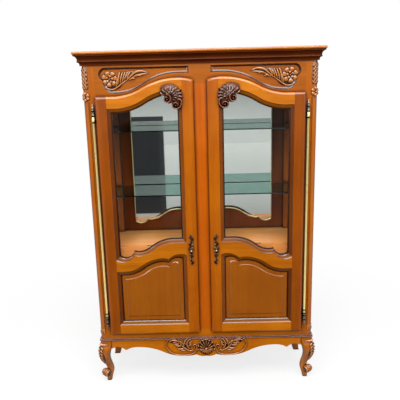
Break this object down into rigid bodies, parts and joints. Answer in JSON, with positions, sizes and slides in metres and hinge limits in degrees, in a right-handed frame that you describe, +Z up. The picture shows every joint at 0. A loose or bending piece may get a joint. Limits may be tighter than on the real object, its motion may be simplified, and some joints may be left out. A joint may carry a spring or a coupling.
{
  "type": "display cabinet",
  "caption": "Tall free-standing cabinet with glazed, arched hinged doors, glass shelves, a mirrored back, carved frieze and apron, and cabriole legs.",
  "frame": {"origin": "bottom centre of the whole cabinet's bounding box, on the floor", "axes": "+Z up, +X to the right of someone facing the doors, -Y towards the front"},
  "size_m": [1.166, 0.372, 1.7],
  "materials": {
    "lacquered_wood": "honey-stained and glossy lacquered cherry",
    "red_wood": "redder stained cherry, lacquered",
    "carved_wood": "carved and antiqued, dark in the hollows",
    "inner_wood": "satin light-brown veneer",
    "glass": "clear float glass with green edges",
    "mirror": "silvered mirror with a bevelled edge",
    "brass": "polished",
    "aged_bronze": "cast and antiqued",
    "steel": "plated"
  },
  "bodies": {
    "case": {"front_apron": "lacquered_wood", "left_side_apron": "lacquered_wood", "right_side_apron": "lacquered_wood", "rear_base_rail": "inner_wood", "left_front_leg": "lacquered_wood", "right_front_leg": "lacquered_wood", "left_rear_leg": "lacquered_wood", "right_rear_leg": "lacquered_wood", "seat_frame": "lacquered_wood", "bottom_board": "inner_wood", "sill_rail": "lacquered_wood", "left_front_post": "lacquered_wood", "right_front_post": "lacquered_wood", "left_rear_post": "lacquered_wood", "right_rear_post": "lacquered_wood", "left_side_panel": "lacquered_wood", "right_side_panel": "lacquered_wood", "left_side_rails": "lacquered_wood", "right_side_rails": "lacquered_wood", "centre_mullion": "red_wood", "frieze_rail": "lacquered_wood", "back_panel": "inner_wood", "mirror_plate": "mirror", "display_deck": "inner_wood", "deck_rail": "inner_wood", "top_board": "lacquered_wood", "cornice_front": "lacquered_wood", "left_cornice": "lacquered_wood", "right_cornice": "lacquered_wood", "shelf_pins": "steel", "left_frieze_carving": "carved_wood", "right_frieze_carving": "carved_wood", "apron_carving": "carved_wood", "hinge_finials": "brass", "lower_glass_shelf": "glass", "upper_glass_shelf": "glass"},
    "left_door": {"left_door_outer_stile": "lacquered_wood", "left_door_inner_stile": "lacquered_wood", "left_door_top_rail": "lacquered_wood", "left_door_middle_rail": "lacquered_wood", "left_door_bottom_rail": "lacquered_wood", "left_door_glass_pane": "glass", "left_door_lower_panel": "lacquered_wood", "left_door_glazing_beads": "lacquered_wood", "left_door_corner_carving": "carved_wood", "left_door_pull_handle": "aged_bronze", "left_door_rim_lock": "steel", "left_door_hinge_tube": "brass"},
    "right_door": {"right_door_outer_stile": "lacquered_wood", "right_door_inner_stile": "lacquered_wood", "right_door_top_rail": "lacquered_wood", "right_door_middle_rail": "lacquered_wood", "right_door_bottom_rail": "lacquered_wood", "right_door_glass_pane": "glass", "right_door_lower_panel": "lacquered_wood", "right_door_glazing_beads": "lacquered_wood", "right_door_corner_carving": "carved_wood", "right_door_pull_handle": "aged_bronze", "right_door_rim_lock": "steel", "right_door_hinge_tube": "brass"}
  },
  "joints": [
    {"name": "left_door_hinge", "type": "hinge", "parent": "case", "child": "left_door", "pos_m": [-0.506, -0.158, 0.9], "axis": [0, 0, -1], "range_deg": [0, 170]},
    {"name": "right_door_hinge", "type": "hinge", "parent": "case", "child": "right_door", "pos_m": [0.506, -0.158, 0.9], "axis": [0, 0, 1], "range_deg": [0, 170]}
  ]
}
